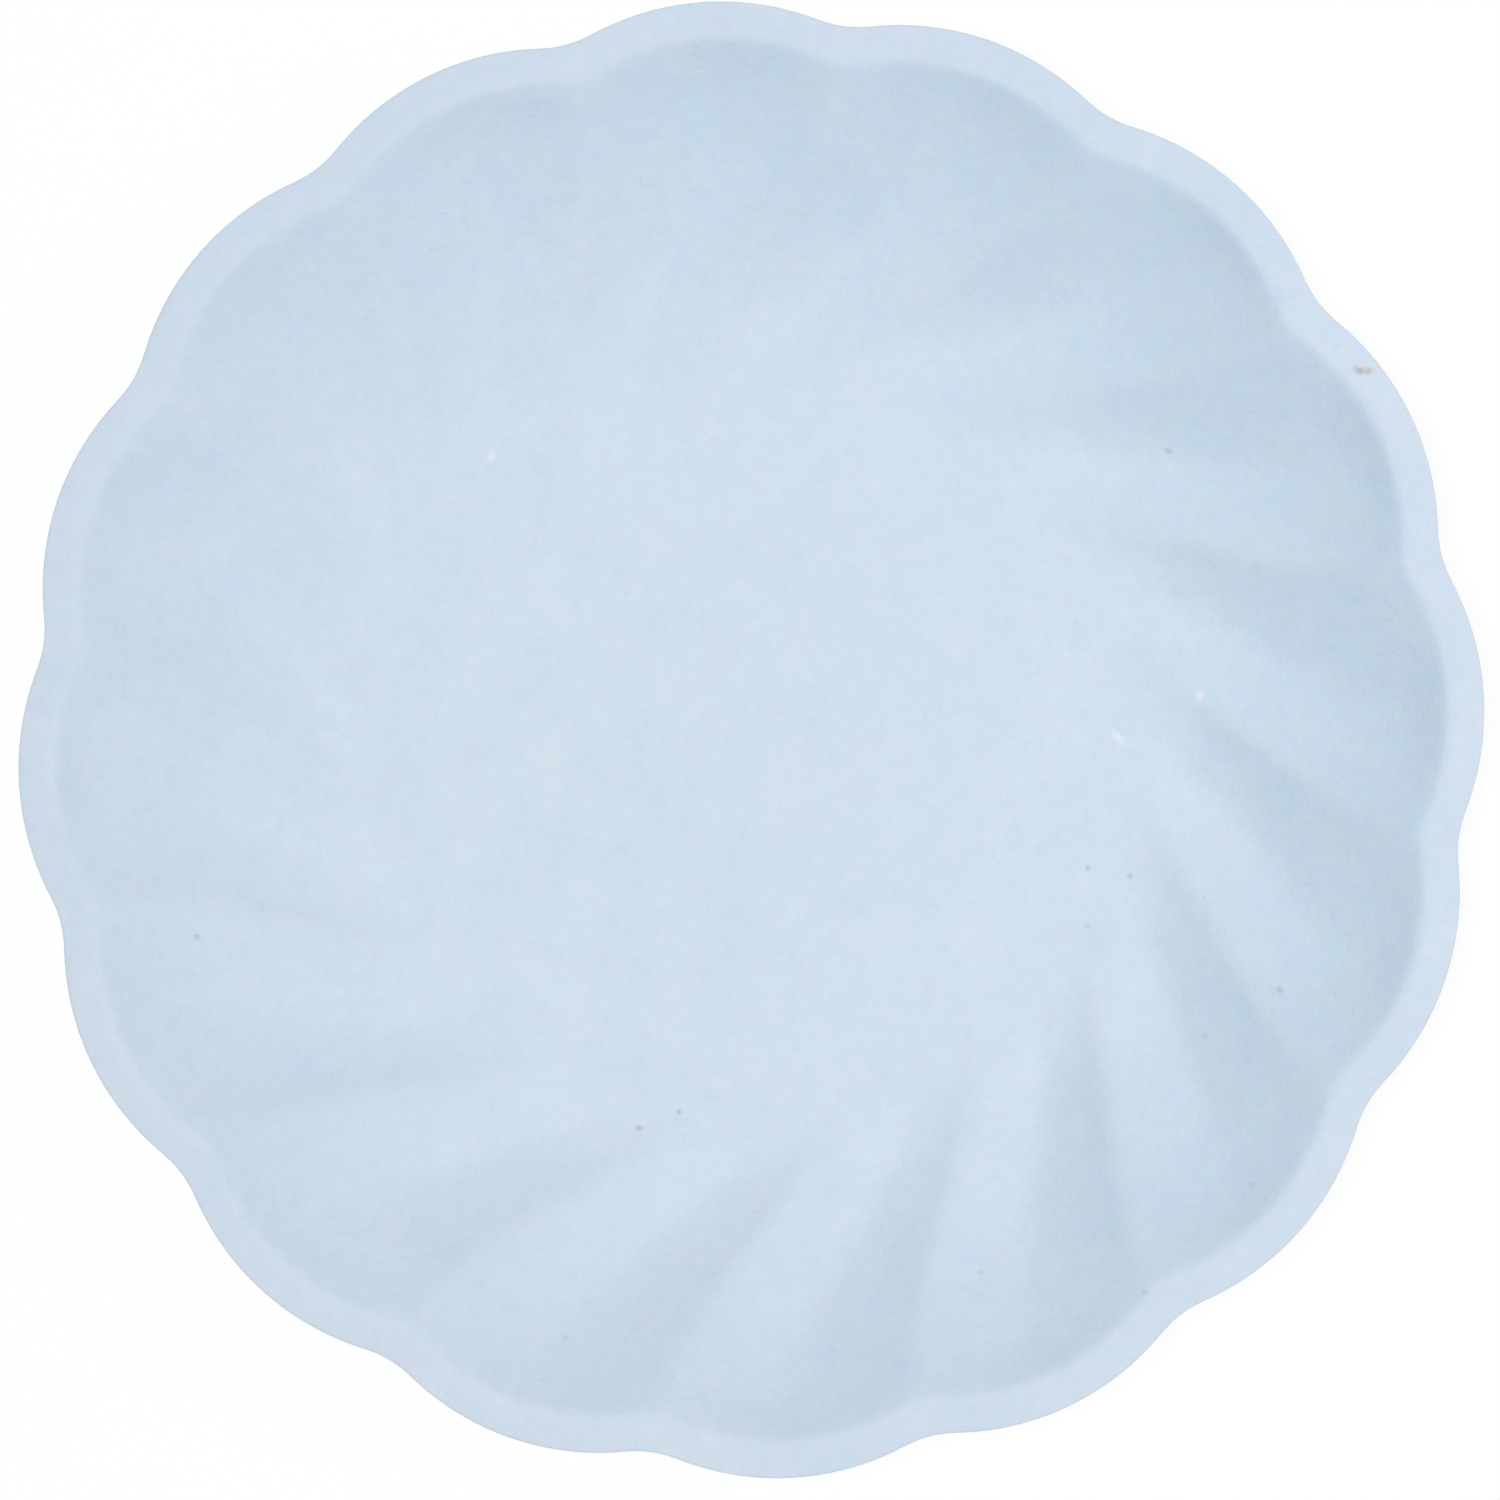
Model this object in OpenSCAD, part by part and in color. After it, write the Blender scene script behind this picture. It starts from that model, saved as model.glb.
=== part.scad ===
// Scalloped dessert plate, pressed from one sheet of moulded fibre.
// The face it rests on is centred on the origin, +Z is up and the middle of one lobe is on +X.

/* [Overall] */
// Width across two opposite lobes
plate_d = 203.2; // [170:0.1:260]
// Height of the corner where the wall meets the brim, above the face that the plate rests on
plate_h = 19; // [10:0.1:28]
// Thickness of the pressed fibre
fibre_t = 0.9; // [0.6:0.05:1.3]
// Width across the flat floor, out to where the ridges start
floor_d = 101.2; // [70:0.1:130]

/* [Brim] */
// Number of lobes round the edge
lobes = 16; // [10:1:24]
// Width of the brim at the middle of a lobe
brim_w = 5; // [4:0.1:10]
// Drop of the brim from its inner corner to the cut edge
brim_drop = 0.45; // [0:0.05:1.5]
// Depth of the notch between two lobes of the cut edge
edge_notch = 2.7; // [0.5:0.1:5]
// Depth of the notch between two lobes of the brim's inner edge
shoulder_notch = 2.95; // [0.5:0.05:6]
// Reach of the rounding between wall and brim
shoulder_round = 0.85; // [0.6:0.05:1.5]

/* [Fluted wall] */
// Turn of a ridge from the brim in to the floor, in degrees
ridge_turn = 21; // [0:1:35]
// Depth at which a ridge meets the brim, below its inner corner
ridge_sink = 0.2; // [0:0.1:2]
// Flat run of a hollow past the start of the ridges
hollow_run = 8.7; // [2:0.1:20]
// Width of the steep band below the brim
band_w = 7.5; // [4:0.1:20]
// Height that the steep band adds to a hollow
band_rise = 0.9; // [0:0.05:4]

/* [Hidden] */
// Facets across a lobe, and how far they crowd towards the ridges
lobe_steps = 12;
crowd_share = 0.35;
// Places of the rings of facets, from floor to shoulder, then round the shoulder
wall_ring_shares = [0, 0.13, 0.26, 0.38, 0.5, 0.61, 0.71, 0.8, 0.88, 0.95];
shoulder_ring_shares = [-1.2, -0.3, 0.6, 1.7];
// Rounding of the notches, as shares of half a lobe
edge_soft_share = 0.2;
shoulder_soft_share = 0.11;
// Rounding of a ridge, and of a hollow at the floor and at the brim
ridge_soft_share = 0.1;
hollow_soft_shares = [0.28, 0.1];
// Place of the lowest line of a hollow across its lobe, at the floor and at the brim
hollow_place_shares = [0.5, 0.44];
// How much of a ridge's turn slackens near the floor
slack_share = 0.143;
// How fast the climbs steepen: ridge, hollow and steep band
ridge_power = 1.52;
hollow_power = 1.5;
band_power = 2;

floor_r = floor_d / 2;
rise = plate_h - fibre_t;
ring_count = len(wall_ring_shares) + len(shoulder_ring_shares) + 1;
// Only whole lobes close the ring
lobe_count = round(lobes);
turn_steps = lobe_count * lobe_steps;

function mix(a, b, share) = a + (b - a) * share;

function clamp(x) = min(1, max(0, x));

// A distance whose start is rounded over a reach, and as a part of a full length
function soft(x, reach) = x < reach ? x * x / (2 * reach) : x - reach / 2;

function soft_part(x, full, reach) = soft(x, reach) / soft(full, reach);

// Place across a lobe, from 0 on one ridge to 1 on the next, for a step of the turn
function lobe_place(step) =
    let (share = (step % lobe_steps) / lobe_steps)
    share - crowd_share * sin(360 * share) / (2 * PI);

// Part of a notch's depth that is left at a place across a lobe
function notch_part(place, soft_share) =
    pow(1 - soft_part(1 - abs(1 - 2 * place), 1, soft_share), 2);

function edge_r(place) = plate_d / 2 - edge_notch * notch_part(place, edge_soft_share);

function shoulder_r(place) =
    plate_d / 2 - brim_w - shoulder_notch * notch_part(place, shoulder_soft_share);

// Climbs above the floor, along a way out from 0 at the floor to 1 at the brim
function ridge_z(way) = (rise - ridge_sink) * pow(way, ridge_power);

function hollow_z(way) =
    let (reach = plate_d / 2 - brim_w - floor_r)
    let (start = hollow_run / reach)
    let (band_start = 1 - band_w / reach)
    (rise - band_rise) * pow(clamp((way - start) / (1 - start)), hollow_power)
    + band_rise * pow(clamp((way - band_start) / (1 - band_start)), band_power);

// 1 on a ridge and 0 on the lowest line of a hollow
function flute(place, way) =
    let (low = mix(hollow_place_shares[0], hollow_place_shares[1], way))
    let (from_ridge = place < low ? place : 1 - place)
    let (side = place < low ? low : 1 - low)
    let (up = 1 - soft_part(from_ridge, side, ridge_soft_share))
    soft_part(up, 1, mix(hollow_soft_shares[0], hollow_soft_shares[1], way));

// Height of the upper face: the wall up to the shoulder, then the drooping brim
function top_z(r, place) =
    let (corner = shoulder_r(place))
    let (past = r - corner)
    let (blend = sqrt(past * past + shoulder_round * shoulder_round))
    let (way = clamp((corner + (past - blend) / 2 - floor_r) / (corner - floor_r)))
    let (wall_z = mix(hollow_z(way), ridge_z(way), flute(place, way)))
    let (droop = brim_drop / (edge_r(place) - corner))
    fibre_t + max(0, wall_z - droop * (past + blend) / 2);

// Turn of the flutes at a way out from the floor
function swirl(way) =
    let (inward = 1 - clamp(way))
    ridge_turn * inward * inward * (1 + slack_share - slack_share * inward * inward);

function ring_r(ring, place) =
    let (walls = len(wall_ring_shares))
    let (corner = shoulder_r(place))
    let (first = corner + shoulder_ring_shares[0] * shoulder_round)
    ring < walls ? mix(floor_r, first, wall_ring_shares[ring])
    : ring < ring_count - 1 ? corner + shoulder_ring_shares[ring - walls] * shoulder_round
    : edge_r(place);

function top_point(ring, step) =
    let (place = lobe_place(step))
    let (r = ring_r(ring, place))
    let (way = (r - floor_r) / (shoulder_r(place) - floor_r))
    let (turn = (floor(step / lobe_steps) + place - 0.5) * 360 / lobe_count + swirl(way))
    [r * cos(turn), r * sin(turn), top_z(r, place)];

// Direction out of the upper face at a point of its grid
function outward(grid, ring, step) =
    let (along = grid[ring + 1][step] - grid[ring - 1][step])
    let (next = (step + 1) % turn_steps)
    let (last = (step + turn_steps - 1) % turn_steps)
    let (n = cross(along, grid[ring][next] - grid[ring][last]))
    n / norm(n);

// The lower face keeps the fibre's thickness, and the trimmed edge stands straight
function under_point(grid, ring, step) =
    ring == 0 || ring == ring_count - 1
    ? grid[ring][step] - [0, 0, fibre_t]
    : grid[ring][step] - fibre_t * outward(grid, ring, step);

// Two triangles for each patch between two rings of points, facing up
function patches(first_row, second_row) = [
    for (step = [0 : turn_steps - 1])
        let (next = (step + 1) % turn_steps)
        for (corners = [[first_row + step, first_row + next, second_row + step],
                        [second_row + step, first_row + next, second_row + next]])
            corners
];

function flipped(faces) = [for (f = faces) [f[2], f[1], f[0]]];

module plate() {
    grid = [for (ring = [0 : ring_count - 1]) [for (step = [0 : turn_steps - 1]) top_point(ring, step)]];
    top = [for (row = grid) each row];
    under = [
        for (ring = [0 : ring_count - 1])
            for (step = [0 : turn_steps - 1]) under_point(grid, ring, step)
    ];
    rows = ring_count * turn_steps;
    centres = [[0, 0, fibre_t], [0, 0, 0]];
    top_middle = 2 * rows;
    under_middle = top_middle + 1;
    top_skin = [
        for (ring = [0 : ring_count - 2])
            each patches(ring * turn_steps, (ring + 1) * turn_steps)
    ];
    under_skin = [for (f = flipped(top_skin)) [f[0] + rows, f[1] + rows, f[2] + rows]];
    cut_edge = patches(rows - turn_steps, 2 * rows - turn_steps);
    top_floor = [
        for (step = [0 : turn_steps - 1]) [top_middle, (step + 1) % turn_steps, step]
    ];
    under_floor = [
        for (step = [0 : turn_steps - 1]) [under_middle, rows + step, rows + (step + 1) % turn_steps]
    ];
    color([0.82, 0.88, 0.93])
        polyhedron(concat(top, under, centres),
                   concat(top_skin, under_skin, cut_edge, top_floor, under_floor));
}

plate();
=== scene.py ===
"""A scalloped dessert plate of pressed moulded fibre, seen from above on a white table."""

import math

import bmesh
import bpy
from mathutils import Matrix, Vector


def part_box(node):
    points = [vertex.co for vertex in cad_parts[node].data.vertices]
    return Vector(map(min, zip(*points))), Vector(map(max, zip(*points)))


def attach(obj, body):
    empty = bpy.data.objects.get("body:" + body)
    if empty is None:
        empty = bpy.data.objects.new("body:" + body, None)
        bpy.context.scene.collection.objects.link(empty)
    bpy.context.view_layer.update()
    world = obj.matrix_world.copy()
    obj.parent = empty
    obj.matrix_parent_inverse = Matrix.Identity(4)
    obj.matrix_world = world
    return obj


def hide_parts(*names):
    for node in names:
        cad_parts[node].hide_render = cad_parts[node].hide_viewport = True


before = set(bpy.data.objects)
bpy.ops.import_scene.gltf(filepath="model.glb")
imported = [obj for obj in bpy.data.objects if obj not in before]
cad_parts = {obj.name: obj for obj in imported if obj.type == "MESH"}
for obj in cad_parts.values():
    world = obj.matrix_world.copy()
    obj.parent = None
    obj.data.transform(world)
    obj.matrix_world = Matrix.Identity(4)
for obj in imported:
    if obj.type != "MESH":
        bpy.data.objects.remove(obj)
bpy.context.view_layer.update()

MM = 0.001

# The plate's own sizes, the same as in the part's source
PLATE_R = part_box("plate")[1][0]
PLATE_H = 19 * MM
FIBRE_T = 0.9 * MM
FLOOR_R = 50.6 * MM
LOBES = 16
BRIM_W = 5 * MM
BRIM_DROP = 0.45 * MM
EDGE_NOTCH = 2.7 * MM
SHOULDER_NOTCH = 2.95 * MM
SHOULDER_ROUND = 0.85 * MM
RIDGE_TURN = math.radians(21)
RIDGE_SINK = 0.2 * MM
HOLLOW_RUN = 8.7 * MM
BAND_W = 7.5 * MM
BAND_RISE = 0.9 * MM

# Shares and powers that shape the flutes
EDGE_SOFT = 0.2
SHOULDER_SOFT = 0.11
RIDGE_SOFT = 0.1
HOLLOW_SOFT = (0.28, 0.1)
HOLLOW_PLACE = (0.5, 0.44)
SLACK = 0.143
RIDGE_POWER = 1.52
HOLLOW_POWER = 1.5
BAND_POWER = 2

# How finely the blank is divided before it is pressed, and what is merged or bevelled on it
LOBE_STEPS = 32
FLOOR_RINGS = 8
WALL_RINGS = 38
SHOULDER_RINGS = 14
BRIM_RINGS = 5
CROWD = 0.45
SHOULDER_REACH = 2.4 * MM
EDGE_BEVEL, EDGE_SEGMENTS = 0.16 * MM, 2
EDGE_CORNER = math.radians(60)
SAME_POINT = 1e-4

# How the camera stands: the plate is turned and the lens is a little to its right
PHOTO_PX = 1500
PLATE_CENTRE_PX = (751.25, 739.71)
LOBE_R_PX = 739.4
PLATE_TURN = math.radians(3.5)
CAMERA_TILT = math.radians(7)
LENS_MM = 400
SENSOR_MM = 36

# The light: a dim white room, a wide soft box high overhead and a small soft box on the right.
# Each share is the part of the light that falls on a level face; together they come to 1, and the
# key light's warmth is made up for by the top light, so that a level face is lit white.
ROOM_SHARE = 0.235
TOP_SHARE, TOP_HEIGHT, TOP_SIZE = 0.64, 10, 2
KEY_SHARE, KEY_DISTANCE, KEY_SIZE = 0.125, 0.75, 0.6
KEY_ELEVATION = math.radians(50)
KEY_SIDE = math.radians(9)
KEY_TINT = (1.18, 1, 0.95)

# The white table, the hair that keeps it out of the plane of the plate's underside, and how much
# of its white doesn't depend on the light that reaches it
TABLE_SIZE = 6
TABLE_GAP = 0.05 * MM
WHITE = (1, 1, 1, 1)
WHITE_SHARE = 0.93

# The stock's pale blue on the floor and on the brim, with painted shade at the foot of the wall
# (darker) and on the wall (darker and bluer)
FLOOR_BLUE = (0.6263, 0.7288, 0.831, 1)
FOOT_SHADE_BLUE = (0.6185, 0.72, 0.8215, 1)
WALL_SHADE_BLUE = (0.6025, 0.7155, 0.8265, 1)
BRIM_BLUE = (0.621, 0.7185, 0.829, 1)
FOOT_SHADE_SPAN = (40 * MM, 53 * MM)
WALL_SHADE_SPAN = (55 * MM, 84 * MM)

# A painted tint of the light runs from bluer at the top right of the view to greyer at its bottom
# left, broken by clouds of the dye
BLUE_LIGHT_CAST = (0.978, 1, 1.014, 1)
GREY_LIGHT_CAST = (1.022, 1, 0.986, 1)
PAINTED_TINT_TURN = math.radians(222)
PAINTED_TINT_PER_METRE = 2.5
CLOUD_GRAIN, CLOUD_SHARE = 12 * MM, 0.11

# Flocks of fibre lean to cyan or lavender, and smaller tufts to green or violet
CYAN_CAST = (0.968, 1.02, 1.014, 1)
LAVENDER_CAST = (1.032, 0.98, 0.986, 1)
FLOCK_GRAIN, FLOCK_SHARE = 4.5 * MM, 0.5
GREEN_CAST = (1.003, 1.02, 0.982, 1)
VIOLET_CAST = (0.997, 0.98, 1.018, 1)
TUFT_GRAIN, TUFT_SHARE = 3.7 * MM, 0.38

# Dense fibre took more dye, so it is darker and cooler, and so are single hairs. Fluffy clouds
# and clumps are paler, each by its share.
DEEP_DYE = (0.935, 0.963, 0.966, 1)
THIN_DYE = (1.065, 1.037, 1.034, 1)
CLOUD_PALENESS = 0.1
CLUMP_GRAIN, CLUMP_PALENESS = 3.2 * MM, 0.36
HAIR_TURNS = (math.radians(-38), math.radians(41))
GAP_TURN = math.radians(65)
HAIR_GRAIN = 2.5 * MM
HAIR_STRETCH = 2
HAIR_WIDTH = 0.14
HAIR_GAPS = (0.3, 0.55)
HAIR_DARKNESS = 0.2

# Noise: how many finer grains are added and how strong, and what spreads it to about -1 to 1
EVEN_DETAIL, EVEN_ROUGHNESS = 3, 0.95
NOISE_SPREAD = 4

# Tiny specks scattered all through the stock
SPECK_CELL = 6 * MM
SPECK_R = 0.3 * MM
DARK_SPECKS, WARM_SPECKS = 0.16, 0.9
DARK_STOCK = (0.52, 0.62, 0.72, 1)
WARM_STOCK = (0.66, 0.68, 0.78, 1)

# Stray fibres and bits in the stock, where the photo shows them: the place in its pixels, the
# length and width at which they are half as strong, the turn from its right, and the colour.
# The faint dots are alike.
BROWN_BIT = (0.55, 0.57, 0.59, 1)
CORE_BIT = (0.42, 0.49, 0.52, 1)
PINK_BIT = (0.53, 0.51, 0.54, 1)
CREAM_BIT = (0.755, 0.80, 0.84, 1)
DARK_BIT = (0.47, 0.57, 0.63, 1)
FAINT_BIT = (0.53, 0.63, 0.72, 1)
UMBER_BIT = (0.52, 0.52, 0.55, 1)
SLATE_BIT = (0.46, 0.53, 0.64, 1)
DYED_HAIR = (0.59, 0.695, 0.805, 1)
FAINT_DOTS = ((565, 1338), (981, 1272), (1145, 1293), (1251, 1184.5), (1088, 926), (1205, 1036))
BITS = (
    ((1356.5, 368.5), 0.9 * MM, 0.6 * MM, math.radians(-35), BROWN_BIT),
    ((1363.5, 371), 2.2 * MM, 0.8 * MM, 0, BROWN_BIT),
    ((1360, 371), 0.8 * MM, 0.6 * MM, 0, CORE_BIT),
    ((1368.5, 371), 0.6 * MM, 0.7 * MM, 0, PINK_BIT),
    ((491.5, 456), 1.5 * MM, 0.85 * MM, math.radians(68), CREAM_BIT),
    ((1200, 696), 1.5 * MM, 0.95 * MM, math.radians(62), CREAM_BIT),
    ((1118.5, 737.5), 1.9 * MM, 0.85 * MM, math.radians(-48), CREAM_BIT),
    ((1130, 876), 0.75 * MM, 0.7 * MM, 0, DARK_BIT),
    ((1088, 868), 0.65 * MM, 0.65 * MM, 0, DARK_BIT),
    ((1280, 990), 0.9 * MM, 0.75 * MM, math.radians(-15), DARK_BIT),
    ((639, 1128), 0.9 * MM, 0.65 * MM, math.radians(-12), UMBER_BIT),
    ((679, 1112), 0.6 * MM, 0.55 * MM, 0, SLATE_BIT),
    ((197, 937), 0.8 * MM, 0.7 * MM, 0, DARK_BIT),
    ((1169, 451), 0.9 * MM, 0.6 * MM, math.radians(-30), DARK_BIT),
    ((686, 1121), 1.8 * MM, 0.4 * MM, math.radians(-10), DYED_HAIR),
    *((dot, 0.8 * MM, 0.7 * MM, 0, FAINT_BIT) for dot in FAINT_DOTS),
    ((660, 205), 3.2 * MM, 0.45 * MM, math.radians(60), DYED_HAIR),
    ((651, 234), 3.2 * MM, 0.45 * MM, math.radians(72), DYED_HAIR),
    ((1149.5, 1056.5), 4 * MM, 0.4 * MM, math.radians(-39), DYED_HAIR),
)
BIT_DEPTH = 3 * MM

# Stretch that leaves a height out of a distance
FLAT = 1e3

# The matte surface, rougher where the fibre is fluffy, and the heights of its relief
ROUGHNESS, CLUMP_ROUGHNESS = 0.92, 0.03
SPECULAR = 0.1
GRAIN, GRAIN_HEIGHT = 0.35 * MM, 0.008 * MM
CLUMP_HEIGHT = 0.025 * MM
HAIR_HEIGHT = 0.008 * MM
WAVE_HEIGHT = 0.04 * MM


def mix(a, b, share):
    return a + (b - a) * share


def clamp(x):
    return min(1, max(0, x))


def soft(x, reach):
    """A distance whose start is rounded over a reach."""
    return x * x / (2 * reach) if x < reach else x - reach / 2


def soft_part(x, full, reach):
    return soft(x, reach) / soft(full, reach)


def notch_part(place, softness):
    """Part of a notch's depth that is left at a place across a lobe."""
    return (1 - soft_part(1 - abs(1 - 2 * place), 1, softness)) ** 2


def edge_r(place):
    return PLATE_R - EDGE_NOTCH * notch_part(place, EDGE_SOFT)


def shoulder_r(place):
    return PLATE_R - BRIM_W - SHOULDER_NOTCH * notch_part(place, SHOULDER_SOFT)


def ridge_z(way):
    return (PLATE_H - FIBRE_T - RIDGE_SINK) * way ** RIDGE_POWER


def hollow_z(way):
    reach = PLATE_R - BRIM_W - FLOOR_R
    start = HOLLOW_RUN / reach
    band_start = 1 - BAND_W / reach
    climb = (PLATE_H - FIBRE_T - BAND_RISE) * clamp((way - start) / (1 - start)) ** HOLLOW_POWER
    return climb + BAND_RISE * clamp((way - band_start) / (1 - band_start)) ** BAND_POWER


def flute(place, way):
    """1 on a ridge and 0 on the lowest line of a hollow."""
    low = mix(*HOLLOW_PLACE, way)
    from_ridge, side = (place, low) if place < low else (1 - place, 1 - low)
    up = 1 - soft_part(from_ridge, side, RIDGE_SOFT)
    return soft_part(up, 1, mix(*HOLLOW_SOFT, way))


def top_z(r, place):
    """Height of the upper face: the wall up to the shoulder, then the drooping brim."""
    corner = shoulder_r(place)
    past = r - corner
    blend = math.hypot(past, SHOULDER_ROUND)
    way = clamp((corner + (past - blend) / 2 - FLOOR_R) / (corner - FLOOR_R))
    wall_z = mix(hollow_z(way), ridge_z(way), flute(place, way))
    droop = BRIM_DROP / (edge_r(place) - corner)
    return FIBRE_T + max(0, wall_z - droop * (past + blend) / 2)


def swirl(way):
    inward = 1 - clamp(way)
    return RIDGE_TURN * inward ** 2 * (1 + SLACK - SLACK * inward ** 2)


def zone_r(station, place):
    """Radius of a station: 0 to 1 is the floor, then the wall, the shoulder and the brim."""
    corner = shoulder_r(place)
    inner, outer = corner - SHOULDER_REACH, corner + SHOULDER_REACH
    if station <= 1:
        return FLOOR_R * station
    if station <= 2:
        return mix(FLOOR_R, inner, station - 1)
    if station <= 3:
        return mix(inner, outer, station - 2)
    return mix(outer, edge_r(place), station - 3)


def pressed(co):
    """Where a point of the flat blank ends up in the press, and how far onto the brim it is."""
    station = math.hypot(co.x, co.y)
    turn = math.atan2(co.y, co.x) / math.tau * LOBES % LOBES
    lobe, share = divmod(turn, 1)
    place = share - CROWD * math.sin(math.tau * share) / math.tau
    r = zone_r(station, place)
    way = (r - FLOOR_R) / (shoulder_r(place) - FLOOR_R)
    angle = (lobe + place - 0.5) * math.tau / LOBES + swirl(way)
    on_brim = clamp((r - shoulder_r(place)) / SHOULDER_ROUND + 0.5)
    return Vector((r * math.cos(angle), r * math.sin(angle), top_z(r, place))), on_brim


def blank_stations():
    zones = (FLOOR_RINGS, WALL_RINGS, SHOULDER_RINGS, BRIM_RINGS)
    stations = [zone + ring / rings for zone, rings in enumerate(zones) for ring in range(rings)]
    return stations + [len(zones)]


def make_plate():
    """A flat blank is spun, pressed, given the fibre's thickness and eased at the cut edge."""
    bm = bmesh.new()
    spoke = [bm.verts.new((station, 0, 0)) for station in blank_stations()]
    edges = [bm.edges.new(pair) for pair in zip(spoke, spoke[1:])]
    bmesh.ops.spin(bm, geom=spoke + edges, cent=(0, 0, 0), axis=(0, 0, 1), angle=math.tau,
                   steps=LOBES * LOBE_STEPS, use_merge=True, use_duplicate=False)
    bmesh.ops.remove_doubles(bm, verts=bm.verts, dist=SAME_POINT)
    brim_layer = bm.verts.layers.float.new("brim")
    for vert in bm.verts:
        vert.co, vert[brim_layer] = pressed(vert.co)
    bmesh.ops.recalc_face_normals(bm, faces=bm.faces)
    if sum(face.normal.z for face in bm.faces) < 0:
        bmesh.ops.reverse_faces(bm, faces=bm.faces)
    bmesh.ops.solidify(bm, geom=bm.faces, thickness=FIBRE_T)
    corners = [edge for edge in bm.edges if edge.calc_face_angle(0) > EDGE_CORNER]
    bmesh.ops.bevel(bm, geom=corners, offset=EDGE_BEVEL, offset_type="OFFSET", affect="EDGES",
                    segments=EDGE_SEGMENTS, profile=0.5, material=-1)
    mesh = bpy.data.meshes.new("plate_shell")
    bm.to_mesh(mesh)
    bm.free()
    mesh.shade_smooth()
    plate = bpy.data.objects.new("plate_shell", mesh)
    bpy.context.collection.objects.link(plate)
    return plate


class Signal:
    """The output of a shader node, which can be reckoned with like a number."""

    def __init__(self, shading, socket):
        self.shading = shading
        self.socket = socket

    def reckon(self, operation, *values):
        return self.shading.reckon(operation, *values)

    def __add__(self, other):
        return self.reckon("ADD", self, other)

    def __radd__(self, other):
        return self.reckon("ADD", other, self)

    def __sub__(self, other):
        return self.reckon("SUBTRACT", self, other)

    def __rsub__(self, other):
        return self.reckon("SUBTRACT", other, self)

    def __mul__(self, other):
        return self.reckon("MULTIPLY", self, other)

    def __rmul__(self, other):
        return self.reckon("MULTIPLY", other, self)

    def __abs__(self):
        return self.reckon("ABSOLUTE", self)

    def beside(self, output):
        """Another output of the same node."""
        return Signal(self.shading, self.socket.node.outputs[output])


class Shading:
    """The node tree of a material or of the world."""

    def __init__(self, owner):
        owner.use_nodes = True
        self.tree = owner.node_tree

    def fill(self, node, sockets):
        for name, value in sockets.items():
            if isinstance(value, Signal):
                self.tree.links.new(value.socket, node.inputs[name])
            else:
                node.inputs[name].default_value = value

    def node(self, kind, settings=None, sockets=None, output=0):
        node = self.tree.nodes.new("ShaderNode" + kind)
        for name, value in (settings or {}).items():
            setattr(node, name, value)
        self.fill(node, sockets or {})
        return Signal(self, node.outputs[output])

    def reckon(self, operation, *values):
        return self.node("Math", {"operation": operation}, dict(enumerate(values)))

    def seen(self):
        """1 where the camera sees the white ground, straight or in a gloss, and 0 for its light."""
        rays = [self.node("LightPath", output=name)
                for name in ("Is Camera Ray", "Is Glossy Ray", "Is Transmission Ray")]
        return rays[0] + rays[1] + rays[2]

    def noise(self, place, grain, detail=0):
        """Clouds of about a grain's size, from about -1 to 1, with finer ones that are as strong."""
        sockets = {"Vector": place, "Scale": 1 / grain, "Detail": detail, "Roughness": EVEN_ROUGHNESS}
        return self.node("TexNoise", sockets=sockets) * NOISE_SPREAD - NOISE_SPREAD / 2

    def step(self, value, start, end, low=0, high=1):
        """Runs smoothly from low to high as the value goes from start to end."""
        sockets = {"Value": value, "From Min": start, "From Max": end, "To Min": low, "To Max": high}
        return self.node("MapRange", {"interpolation_type": "SMOOTHSTEP"}, sockets)

    def blend(self, share, first, second):
        """A colour on the way from the first to the second."""
        return self.node("Mix", {"data_type": "RGBA"}, {0: share, 6: first, 7: second}, output=2)

    def laid(self, place, centre=(0, 0, 0), turn=0, size=(1, 1, 1)):
        """Place as seen from a mark that lies at a centre, turned and as large as its size."""
        sockets = {"Vector": place, "Location": centre, "Rotation": (0, 0, turn), "Scale": size}
        return self.node("Mapping", {"vector_type": "TEXTURE"}, sockets)

    def length(self, vector):
        return self.node("VectorMath", {"operation": "LENGTH"}, {0: vector}, output="Value")


def add_table():
    bpy.ops.mesh.primitive_plane_add(size=TABLE_SIZE, location=(0, 0, -TABLE_GAP))
    table = bpy.context.object
    table.name = "table"
    material = bpy.data.materials.new("white_table")
    shading = Shading(material)
    lit = shading.node("BsdfDiffuse", sockets={"Color": WHITE})
    white = shading.node("Emission", sockets={"Color": WHITE, "Strength": 1})
    both = shading.node("MixShader", sockets={0: shading.seen() * WHITE_SHARE, 1: lit, 2: white})
    shading.fill(shading.tree.nodes["Material Output"], {"Surface": both})
    table.data.materials.append(material)
    return table


def photo_axes():
    """The level directions that point right and up in the photo."""
    right = Vector((math.cos(PLATE_TURN), -math.sin(PLATE_TURN), 0))
    up = Vector((math.sin(PLATE_TURN), math.cos(PLATE_TURN), 0))
    return right, up


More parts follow.
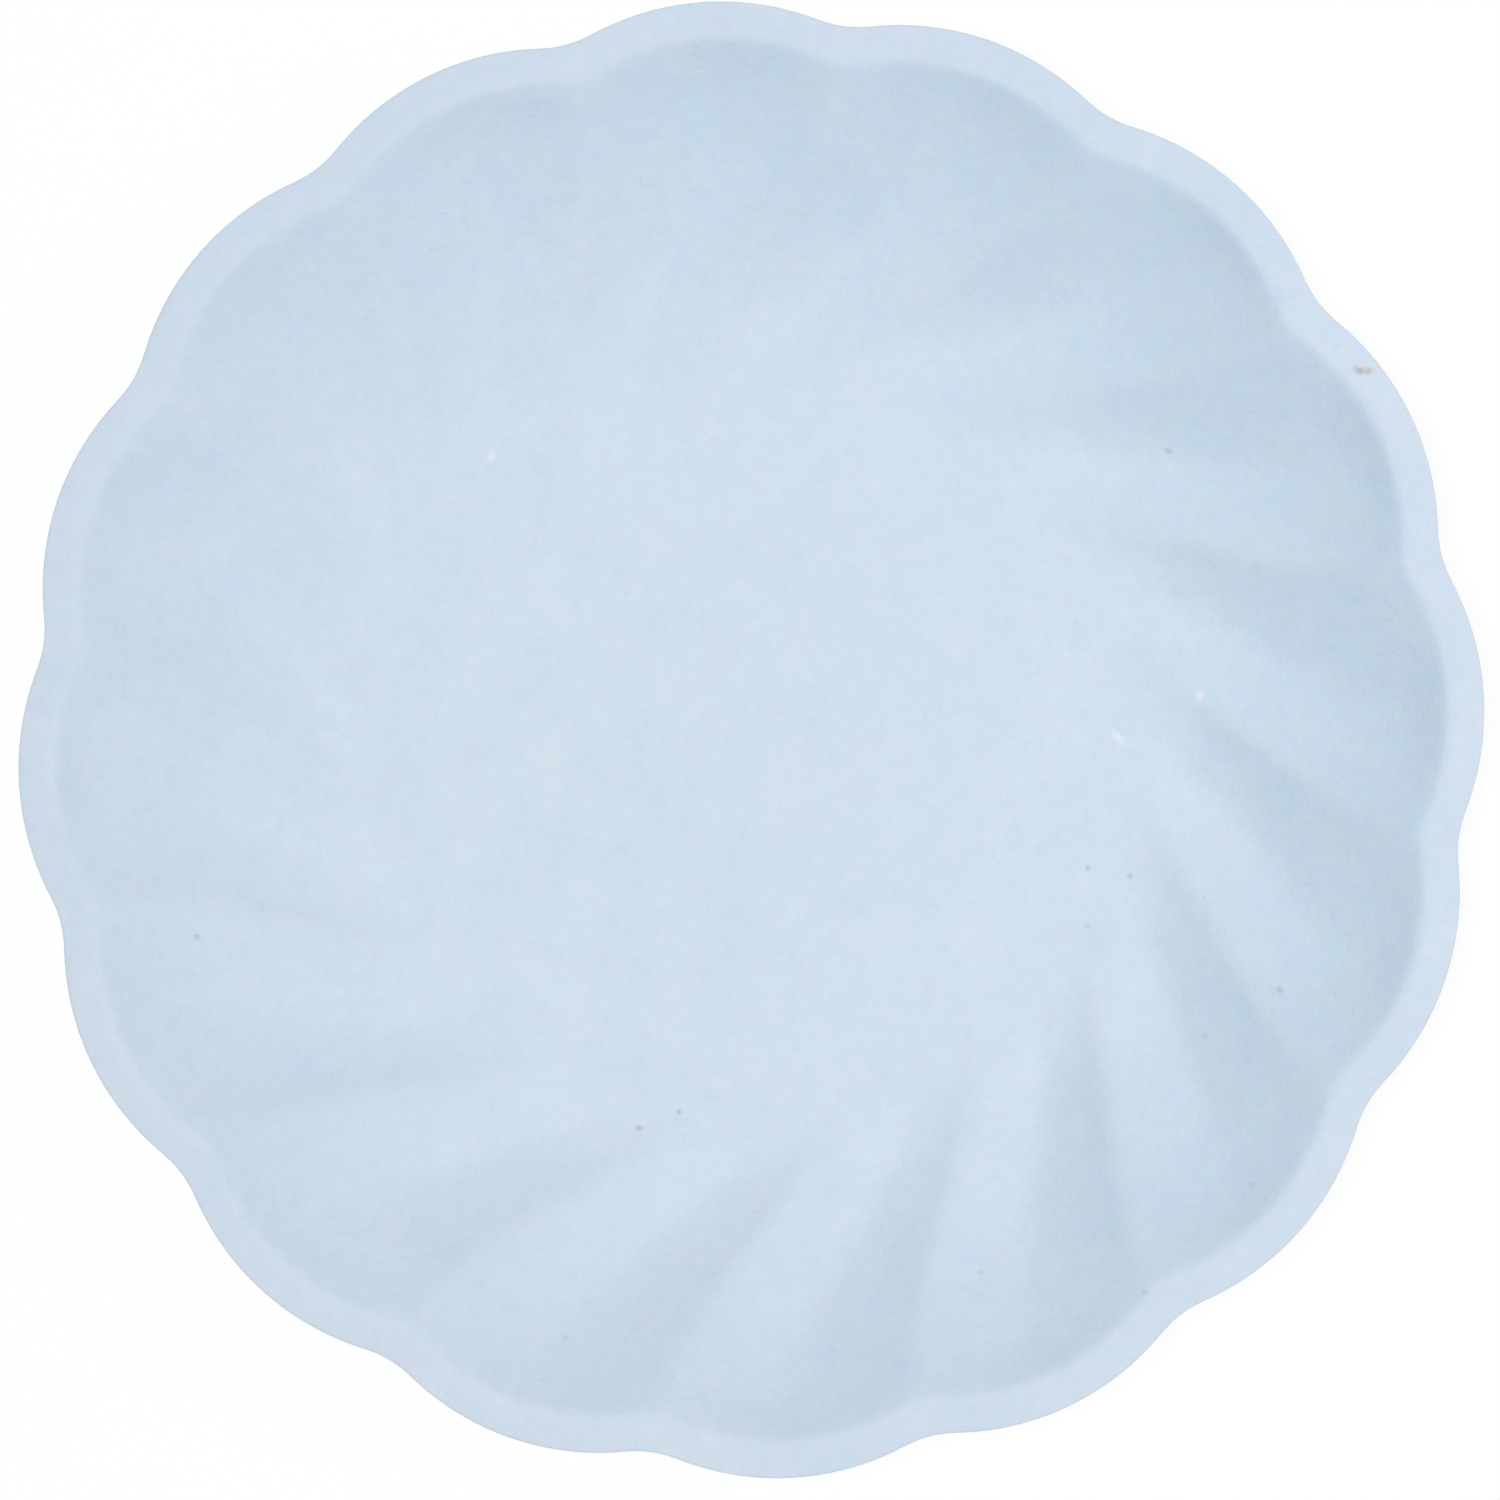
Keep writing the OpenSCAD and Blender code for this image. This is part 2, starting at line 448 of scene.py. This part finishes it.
def add_camera():
    right, up = photo_axes()
    above = Vector((0, 0, 1))
    back = math.sin(CAMERA_TILT) * right + math.cos(CAMERA_TILT) * above
    across = math.cos(CAMERA_TILT) * right - math.sin(CAMERA_TILT) * above
    px = PLATE_R / LOBE_R_PX
    distance = PHOTO_PX * px * LENS_MM / SENSOR_MM
    # The near side of the brim looks larger, which moves the middle of its outline
    swell = PLATE_R ** 2 * math.sin(CAMERA_TILT) / distance
    off_x = (PHOTO_PX / 2 - PLATE_CENTRE_PX[0]) * px + swell
    off_y = (PLATE_CENTRE_PX[1] - PHOTO_PX / 2) * px
    brim_centre = Vector((0, 0, PLATE_H - BRIM_DROP))
    aim = brim_centre + off_x * across + off_y * up
    data = bpy.data.cameras.new("camera")
    data.lens = LENS_MM
    data.sensor_width = SENSOR_MM
    camera = bpy.data.objects.new("camera", data)
    turn = Matrix((across, up, back)).transposed().to_4x4()
    camera.matrix_world = Matrix.Translation(aim + back * distance) @ turn
    bpy.context.collection.objects.link(camera)
    bpy.context.scene.camera = camera
    return camera


def plate_point(plate, camera, pixel):
    """The point of the plate that the photo shows at a pixel."""
    across = (pixel[0] / PHOTO_PX - 0.5) * SENSOR_MM / LENS_MM
    upward = (0.5 - pixel[1] / PHOTO_PX) * SENSOR_MM / LENS_MM
    sight = camera.matrix_world.to_3x3() @ Vector((across, upward, -1))
    return plate.ray_cast(camera.matrix_world.translation, sight.normalized())[1]


class Stock:
    """The patterns in the pulp that both its colour and its relief follow."""

    def __init__(self, shading):
        self.shading = shading
        self.place = shading.node("TexCoord", output="Object")
        self.cloud = shading.noise(self.place, CLOUD_GRAIN)
        self.clumps = shading.noise(self.place, CLUMP_GRAIN, EVEN_DETAIL)
        broken = shading.noise(shading.laid(self.place, turn=GAP_TURN), HAIR_GRAIN)
        gaps = shading.step(broken, *HAIR_GAPS)
        # A hair runs where a drawn-out noise passes through nought
        self.hairs = 0
        for turn in HAIR_TURNS:
            along = shading.laid(self.place, turn=turn, size=(HAIR_STRETCH, 1, 1))
            line = shading.step(abs(shading.noise(along, HAIR_GRAIN)), 0, HAIR_WIDTH, 1, 0)
            self.hairs = line * gaps + self.hairs

    def painted_tint(self):
        """How far the painted tint of the light is on its way from bluer to greyer, with clouds of
        the dye.
        """
        right, up = photo_axes()
        toward = right * math.cos(PAINTED_TINT_TURN) + up * math.sin(PAINTED_TINT_TURN)
        sockets = {0: self.place, 1: toward * PAINTED_TINT_PER_METRE}
        painted_tint = self.shading.node("VectorMath", {"operation": "DOT_PRODUCT"}, sockets, output="Value")
        return 0.5 + painted_tint + CLOUD_SHARE * self.cloud

    def flocks(self, grain, share):
        """How far flocks of about a grain's size lean from the first to the second of their casts."""
        return 0.5 + share * self.shading.noise(self.place, grain, EVEN_DETAIL)

    def paleness(self):
        """How pale the stock is, from 0 where it took the most dye to 1 where it took the least."""
        pale = 0.5 + CLOUD_PALENESS * self.cloud + CLUMP_PALENESS * self.clumps
        return pale - HAIR_DARKNESS * self.hairs

    def speckled(self, colour):
        """Tiny round specks of two kinds, at some of the points of a scattered pattern."""
        sockets = {"Vector": self.place, "Scale": 1 / SPECK_CELL}
        away = self.shading.node("TexVoronoi", sockets=sockets, output="Distance")
        drawn = self.shading.node("SeparateColor", sockets={"Color": away.beside("Color")})
        near = self.shading.step(away * SPECK_CELL, 0, SPECK_R, 1, 0)
        dark = near * self.shading.reckon("LESS_THAN", drawn, DARK_SPECKS)
        warm = near * self.shading.reckon("GREATER_THAN", drawn, WARM_SPECKS)
        colour = self.shading.blend(dark, colour, DARK_STOCK)
        return self.shading.blend(warm, colour, WARM_STOCK)

    def colour(self, plate, camera):
        """Pale blue stock: clouded, clumped and hairy, with specks and the photo's own bits in it,
        painted shade on the wall and a painted tint of the light across it.
        """
        shading = self.shading
        radius = shading.length(shading.laid(self.place, size=(1, 1, FLAT)))
        on_brim = shading.node("Attribute", {"attribute_name": "brim"}, output="Fac")
        # Painted shade: the colour darkens towards the foot of the wall, and darkens and turns bluer
        # up the wall
        colour = shading.blend(shading.step(radius, *FOOT_SHADE_SPAN), FLOOR_BLUE, FOOT_SHADE_BLUE)
        colour = shading.blend(shading.step(radius, *WALL_SHADE_SPAN), colour, WALL_SHADE_BLUE)
        colour = shading.blend(on_brim, colour, BRIM_BLUE)
        for share, first, second in (
            # A painted tint of the light, bluer to one side and greyer to the other, mixed with
            # clouds of the dye
            (self.painted_tint(), BLUE_LIGHT_CAST, GREY_LIGHT_CAST),
            (self.flocks(FLOCK_GRAIN, FLOCK_SHARE), CYAN_CAST, LAVENDER_CAST),
            (self.flocks(TUFT_GRAIN, TUFT_SHARE), GREEN_CAST, VIOLET_CAST),
            (self.paleness(), DEEP_DYE, THIN_DYE),
        ):
            cast = shading.blend(share, first, second)
            colour = shading.node("VectorMath", {"operation": "MULTIPLY"}, {0: colour, 1: cast})
        colour = self.speckled(colour)
        for pixel, length, width, turn, bit in BITS:
            centre = plate_point(plate, camera, pixel)
            away = shading.laid(self.place, centre, turn - PLATE_TURN, (length, width, BIT_DEPTH))
            colour = shading.blend(shading.step(shading.length(away), 0, 1, 1, 0), colour, bit)
        return colour

    def relief(self):
        grain = self.shading.noise(self.place, GRAIN)
        fine = GRAIN_HEIGHT * grain + CLUMP_HEIGHT * self.clumps + HAIR_HEIGHT * self.hairs
        height = fine + WAVE_HEIGHT * self.cloud
        return self.shading.node("Bump", sockets={"Distance": 1, "Height": height})


def moulded_fibre(plate, camera):
    material = bpy.data.materials.new("moulded_fibre")
    shading = Shading(material)
    stock = Stock(shading)
    shading.fill(shading.tree.nodes["Principled BSDF"], {
        "Base Color": stock.colour(plate, camera),
        "Roughness": ROUGHNESS + CLUMP_ROUGHNESS * stock.clumps,
        "Specular IOR Level": SPECULAR,
        "Normal": stock.relief(),
    })
    return material


def add_soft_box(name, direction, distance, size, share, tint):
    """A round lamp facing the plate, as strong as its share of the light on a level face."""
    data = bpy.data.lights.new(name, "AREA")
    data.shape = "DISK"
    data.size = size
    data.color = tint
    data.energy = math.pi ** 2 * ((size / 2) ** 2 + distance ** 2) * share / direction.z
    lamp = bpy.data.objects.new(name, data)
    lamp.location = direction * distance
    lamp.rotation_euler = direction.to_track_quat("Z", "Y").to_euler()
    lamp.visible_camera = False
    bpy.context.collection.objects.link(lamp)


def light_room():
    bpy.context.scene.view_settings.view_transform = "Standard"
    world = bpy.data.worlds.new("studio")
    bpy.context.scene.world = world
    shading = Shading(world)
    strength = ROOM_SHARE + (1 - ROOM_SHARE) * shading.seen()
    shading.fill(world.node_tree.nodes["Background"], {"Color": WHITE, "Strength": strength})
    rest_tint = [1 - (part - 1) * KEY_SHARE / TOP_SHARE for part in KEY_TINT]
    add_soft_box("top_light", Vector((0, 0, 1)), TOP_HEIGHT, TOP_SIZE, TOP_SHARE, rest_tint)
    side = KEY_SIDE - PLATE_TURN
    level = math.cos(KEY_ELEVATION)
    toward_key = Vector((level * math.cos(side), level * math.sin(side), math.sin(KEY_ELEVATION)))
    add_soft_box("key_light", toward_key, KEY_DISTANCE, KEY_SIZE, KEY_SHARE, KEY_TINT)


plate = make_plate()
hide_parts("plate")
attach(plate, "root")
add_table()
camera = add_camera()
bpy.context.view_layer.update()
plate.data.materials.append(moulded_fibre(plate, camera))
light_room()
